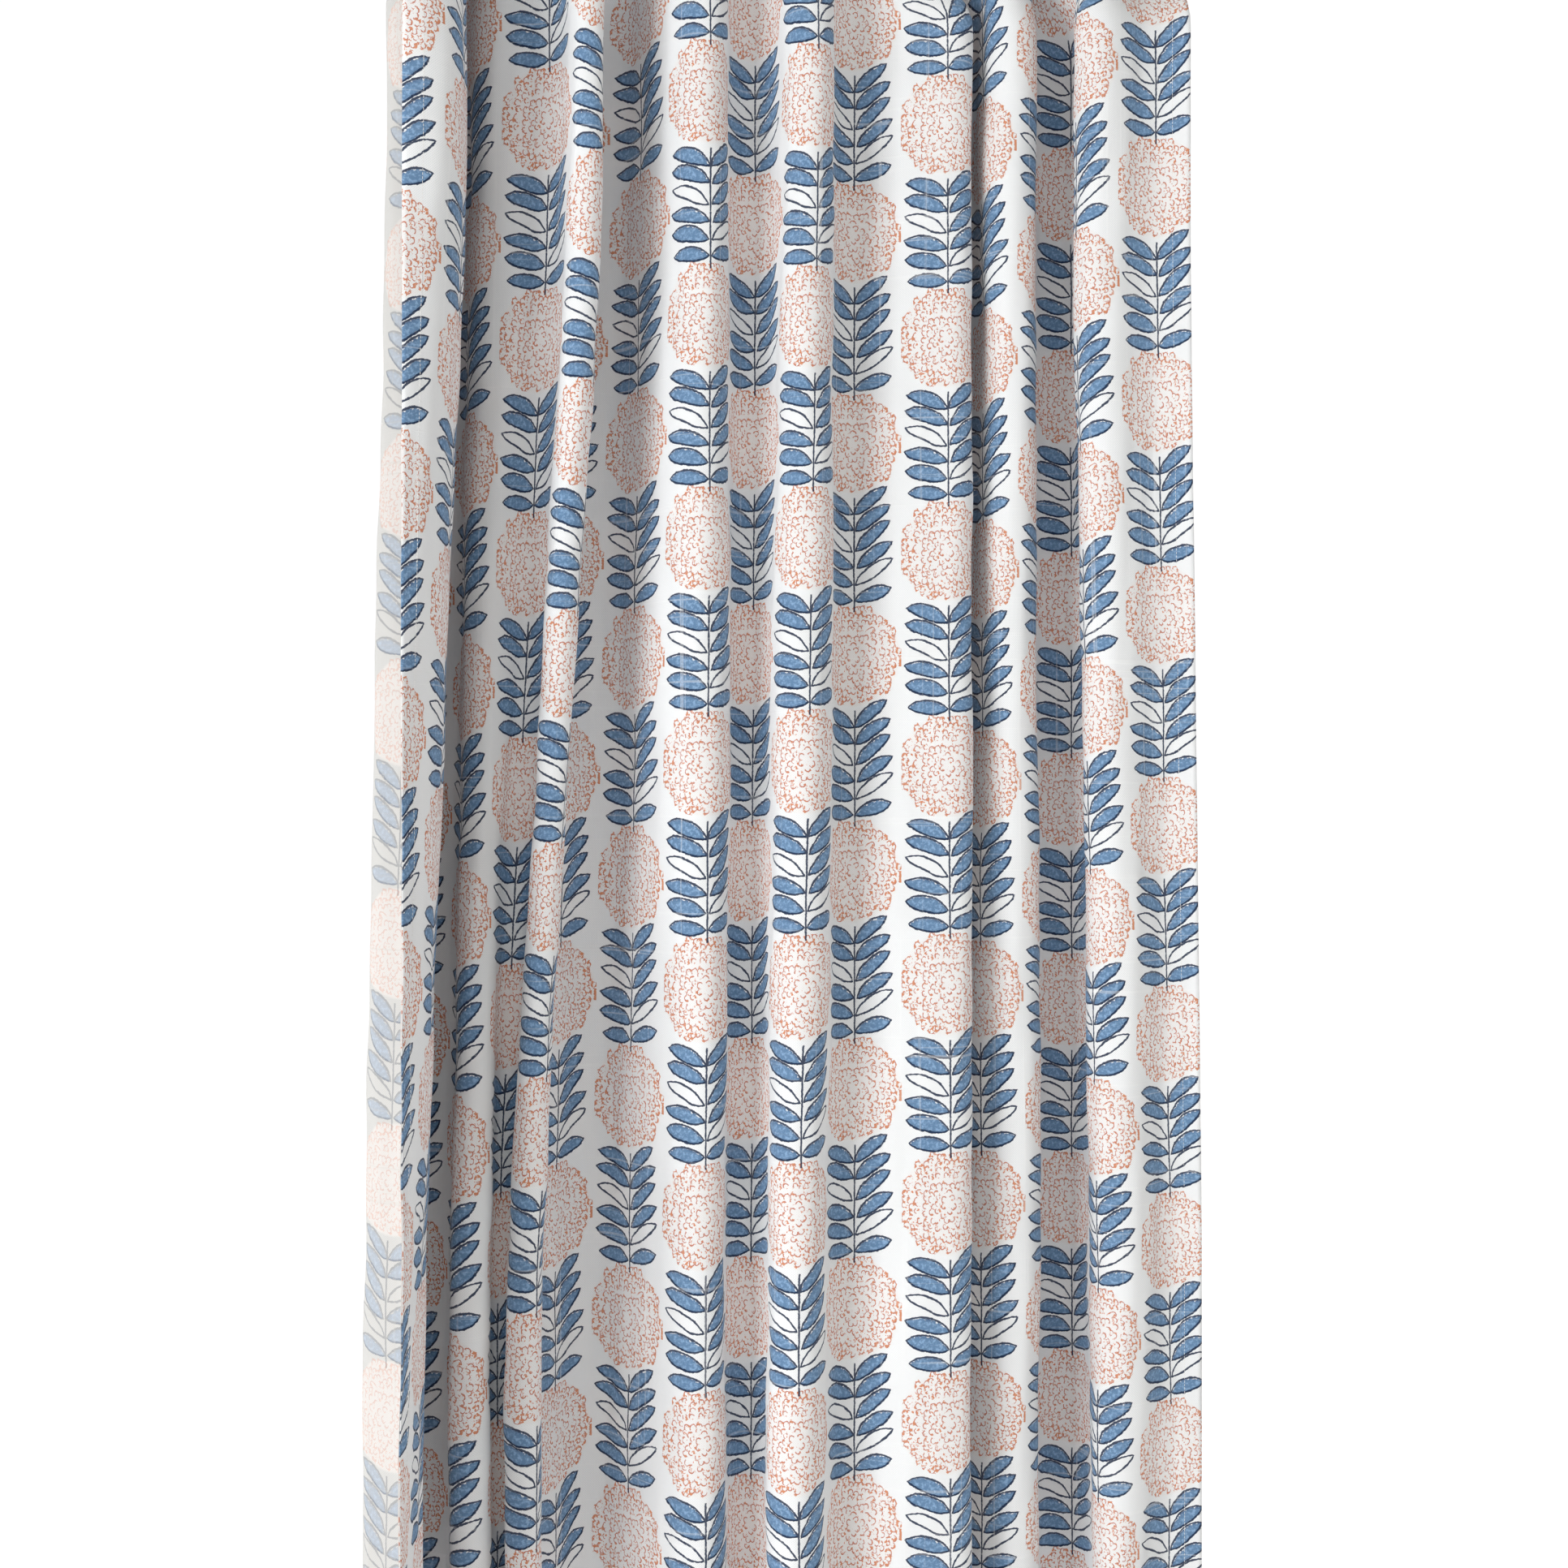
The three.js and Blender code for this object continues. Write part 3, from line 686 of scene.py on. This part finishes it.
def stitches(name, s, d, across):
    """A row of lockstitches along flat places (s, d), on both faces of the hem."""
    points, faces = [], []
    half, radius, sides = STITCH_LENGTH / 2, THREAD_RADIUS, 5
    # Along one stitch: how far from its middle, how far above the cloth, and how thick.
    shape = ((-half, -0.25, 0.5), (-0.6 * half, 0, 1), (0.6 * half, 0, 1), (half, -0.25, 0.5))
    for face in (1, -1):
        out = face * (LAYER_OFFSET + LAYER / 2 + 0.1)
        for shift, lift, thin in shape:
            ds, dd = (shift, 0) if across else (0, shift)
            for k in range(sides):
                a = 2 * math.pi * k / sides
                wide, high = radius * thin * math.cos(a), radius * thin * math.sin(a)
                ws, wd = (0, wide) if across else (wide, 0)
                offset = np.full(len(s), out + face * (lift + high))
                points.append(cloth.at(s + ds + ws, d + dd + wd, offset))
    block = np.array(points).reshape(2, 4 * sides, len(s), 3)
    made = []
    for f in range(2):
        for n in range(len(s)):
            first = len(made)
            made.extend(block[f, :, n])
            faces += side_faces(first, len(shape), sides)
            faces.append(tuple(first + k for k in range(sides)))
            faces.append(tuple(first + 3 * sides + k for k in range(sides)))
    mesh = mesh_of(name, made, faces)
    piece = new_object(name, mesh, THREAD)
    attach(piece, "cloth")
    return piece


along = np.arange(4, WIDTH - 4, STITCH_PITCH)
down = np.arange(HEADER_HEIGHT + 3, LENGTH - BOTTOM_HEM - 3, STITCH_PITCH)
seams = [
    stitches("header_stitches", along, np.full(len(along), HEADER_HEIGHT - 3.0), True),
    stitches("bottom_hem_stitches", along, np.full(len(along), LENGTH - BOTTOM_HEM + 3.0), True),
    stitches("side_hem_left_stitches", np.full(len(down), SIDE_HEM - 2.0), down, False),
    stitches("side_hem_right_stitches", np.full(len(down), WIDTH - SIDE_HEM + 2.0), down, False),
]


# ---- Rings, gates and eyelets ----

def rounded_bar(radius, length, x, sides=24, ease=0.25):
    """A solid bar along X with eased edges: a lathe whose axis points are very close to the axis."""
    end = length / 2
    profile = [
        (0.01, -end), (radius - ease, -end), (radius, -end + ease),
        (radius, end - ease), (radius - ease, end), (0.01, end),
    ]
    points, faces = lathe(profile, sides, "X")
    return points + np.array([x, 0, 0]), faces


def plate(x, thickness, start, length, width):
    """A small flat tab along Z from start, in a plane across X, with eased edges."""
    made = bmesh.new()
    bmesh.ops.create_cube(made, size=1.0)
    bmesh.ops.scale(made, vec=(thickness, width, length), verts=made.verts)
    bmesh.ops.translate(made, vec=(x, 0, start + length / 2), verts=made.verts)
    bmesh.ops.bevel(made, geom=list(made.edges), offset=0.18, segments=2, affect="EDGES", profile=0.6)
    points = np.array([v.co[:] for v in made.verts])
    faces = [tuple(v.index for v in f.verts) for f in made.faces]
    made.free()
    return points, faces


def turned(part, angle, shift):
    points, faces = part
    rot = np.array(Matrix.Rotation(angle, 3, "X"))
    return np.asarray(points) @ rot.T + np.array(shift), faces


def arc(start, end, steps):
    angles = np.linspace(start, end, steps)
    return [(0, RING_RADIUS * math.cos(a), RING_RADIUS * math.sin(a)) for a in angles]


HINGE = (0, RING_RADIUS * math.cos(GATE_HALF), -RING_RADIUS * math.sin(GATE_HALF))
EYE, PIN, PIN_HOLE, EAR, EYE_THICK, SIDE_GAP = 2.6, 0.9, 1.03, 1.2, 1.6, 0.3
TAB_WIDTH, RIVET_HEAD, RIVET_THICK, EAR_EASE = 1.6 * WIRE_RADIUS, 1.35, 0.4, 0.15
REACH = EYE + 0.6
EAR_X = EYE_THICK / 2 + SIDE_GAP + EAR / 2
CLASP = 0.3 / RING_RADIUS


def ring_mesh():
    wire = tube(arc(GATE_HALF + CLASP, 2 * math.pi - GATE_HALF - REACH / RING_RADIUS, 90), WIRE_RADIUS, 20)
    tab = turned(plate(0, EYE_THICK, -REACH - 1, REACH + 1, TAB_WIDTH), -GATE_HALF, HINGE)
    eye = turned(rounded_bar(EYE, EYE_THICK, 0), 0, HINGE)
    pin = turned(rounded_bar(PIN, 2 * EAR_X + EAR + 0.2, 0, 20, 0.2), 0, HINGE)
    head_x = EAR_X + EAR / 2 + 0.3
    heads = [turned(rounded_bar(RIVET_HEAD, RIVET_THICK, x, 20, 0.15), 0, HINGE) for x in (-head_x, head_x)]
    return mesh_of("ring", *joined(wire, tab, eye, pin, *heads))


def gate_mesh():
    wire = tube(arc(REACH / RING_RADIUS - GATE_HALF, GATE_HALF - CLASP, 40), WIRE_RADIUS, 20)
    parts = [wire]
    for x in (-EAR_X, EAR_X):
        parts.append(turned(plate(x, EAR, 0.9, REACH + 0.1, TAB_WIDTH), -GATE_HALF, HINGE))
        near, far = x - EAR / 2, x + EAR / 2
        profile = [
            (PIN_HOLE, near), (EYE - EAR_EASE, near), (EYE, near + EAR_EASE),
            (EYE, far - EAR_EASE), (EYE - EAR_EASE, far), (PIN_HOLE, far),
        ]
        parts.append(turned(lathe(profile, 24, "X"), 0, HINGE))
    return mesh_of("ring_gate", *joined(*parts))


GAP = 0.3
HEM_FACE = 0.8 + GAP  # how far the eyelet's flange and the washer stand from the middle of the hem


def eyelet_mesh():
    bore, barrel, flange = EYELET_HOLE / 2, EYELET_HOLE / 2 + EYELET_SHEET, EYELET_FLANGE / 2
    front = -HEM_FACE
    lip = HEM_FACE + EYELET_SHEET + GAP
    profile = [
        (bore, front - 0.35), (bore + 0.4, front - 0.9), (bore + 1.2, front - 1.05),
        (flange - 1.4, front - 0.75), (flange - 0.4, front - 0.45), (flange, front - 0.2),
        (flange - 0.1, front), (barrel, front),
        (barrel, lip), (barrel + EYELET_LIP, lip), (barrel + EYELET_LIP, lip + 0.4),
        (barrel + 0.6, lip + EYELET_SHEET), (bore + 0.2, lip + 0.6), (bore, lip + 0.3),
    ]
    return mesh_of("eyelet", *lathe(profile, 56, "Y"))


def washer_mesh():
    bore, flange, top = EYELET_HOLE / 2 + EYELET_SHEET + GAP, EYELET_FLANGE / 2, HEM_FACE + EYELET_SHEET
    profile = [
        (bore, HEM_FACE), (flange, HEM_FACE), (flange, HEM_FACE + 0.3), (flange - 0.5, top), (bore, top),
    ]
    return mesh_of("eyelet_washer", *lathe(profile, 56, "Y"))


def in_metres(mesh, z):
    mesh.transform(Matrix.Translation((0, 0, z * MM)) @ Matrix.Scale(MM, 4))
    repair = bmesh.new()
    repair.from_mesh(mesh)
    bmesh.ops.recalc_face_normals(repair, faces=repair.faces)
    repair.to_mesh(mesh)
    repair.free()
    return mesh


SHAPES = {
    "ring": (in_metres(ring_mesh(), RING_CENTRE_Z), RING_METAL, "ring_nickel"),
    "ring_gate": (in_metres(gate_mesh(), RING_CENTRE_Z), RING_METAL, "ring_nickel"),
    "eyelet": (in_metres(eyelet_mesh(), EYELET_Z), EYELET_METAL, "eyelet_nickel"),
    "eyelet_washer": (in_metres(washer_mesh(), EYELET_Z), EYELET_METAL, "eyelet_nickel"),
}
for mesh, metal, _ in SHAPES.values():
    mesh.materials.append(metal)

fittings = []
for i, x in enumerate(RING_X):
    number = f"{i + 1:02d}"
    for kind, (mesh, _, slot) in SHAPES.items():
        piece = bpy.data.objects.new(f"{kind}_{number}_part", mesh)
        bpy.context.scene.collection.objects.link(piece)
        piece.location.x = x * MM
        body = "gate_" + number if kind == "ring_gate" else ("cloth" if i == 0 else "hanger_" + number)
        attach(piece, body)
        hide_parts(f"{kind}_{number}")
        fittings.append(piece)

folds = [header_fold, bottom_fold, left_fold, right_fold]
for piece in [curtain, *folds, *seams]:
    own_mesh(piece)


# ---- Floor, light and camera ----

FLOOR_HALF, FLOOR_Z = 9, -2.0
FRONT_GLOW, BACKDROP_GLOW = 0.34, 0.69
CAMERA_PLACE, CAMERA_HEADING, FOCAL_LENGTH = (-0.474, -1.566, -0.965), (0.2924, 0.9563, 0.0), 38.2


def floor():
    corners = [(x * FLOOR_HALF, y * FLOOR_HALF, FLOOR_Z) for x, y in ((-1, -1), (1, -1), (1, 1), (-1, 1))]
    made = new_object("floor", mesh_of("floor", corners, [(0, 1, 2, 3)]))
    material, g = new_material("floor")
    surface = g.node("BsdfPrincipled", {"Base Color": (0.92, 0.92, 0.92, 1), "Roughness": 0.9})
    surface.inputs["Emission Color"].default_value = (1, 1, 1, 1)
    surface.inputs["Emission Strength"].default_value = 0.35
    g.put(g.node("OutputMaterial").inputs["Surface"], surface.outputs[0])
    made.data.materials.append(material)


def world():
    made = bpy.data.worlds.new("studio")
    bpy.context.scene.world = made
    made.use_nodes = True
    g = Graph(made.node_tree)
    direction = g.split(g.node("TexCoord").outputs["Generated"])
    behind = g.ramp(direction[1], -0.35, 0.15)
    strength = g.math("MULTIPLY_ADD", behind, BACKDROP_GLOW, FRONT_GLOW)
    tint = g.mix(g.ramp(direction[2], -0.1, 0.45), (0.93, 0.97, 1.0, 1), (1.0, 0.95, 0.88, 1))
    shade = g.mix(behind, tint, (1, 1, 1, 1))
    background = g.node("Background", {"Color": shade, "Strength": strength})
    g.put(g.node("OutputWorld").inputs["Surface"], background.outputs[0])


def area_light(name, place, target, size, power, tint):
    data = bpy.data.lights.new(name, "AREA")
    data.shape, data.size, data.size_y = "RECTANGLE", size[0], size[1]
    data.energy, data.color = power, tint
    lamp = bpy.data.objects.new(name, data)
    bpy.context.scene.collection.objects.link(lamp)
    lamp.location = place
    lamp.rotation_euler = (Vector(target) - Vector(place)).to_track_quat("-Z", "Y").to_euler()


floor()
world()
area_light("key", (-2.8, -1.9, -1.3), (0, 0, -1.15), (1.2, 1.7), 74, (0.97, 0.985, 1.0))

camera_data = bpy.data.cameras.new("camera")
camera_data.sensor_width, camera_data.lens = 36.0, FOCAL_LENGTH
camera = bpy.data.objects.new("camera", camera_data)
bpy.context.scene.collection.objects.link(camera)
camera.location = CAMERA_PLACE
camera.rotation_euler = Vector(CAMERA_HEADING).to_track_quat("-Z", "Y").to_euler()
bpy.context.scene.camera = camera
bpy.context.scene.view_settings.view_transform = "Standard"
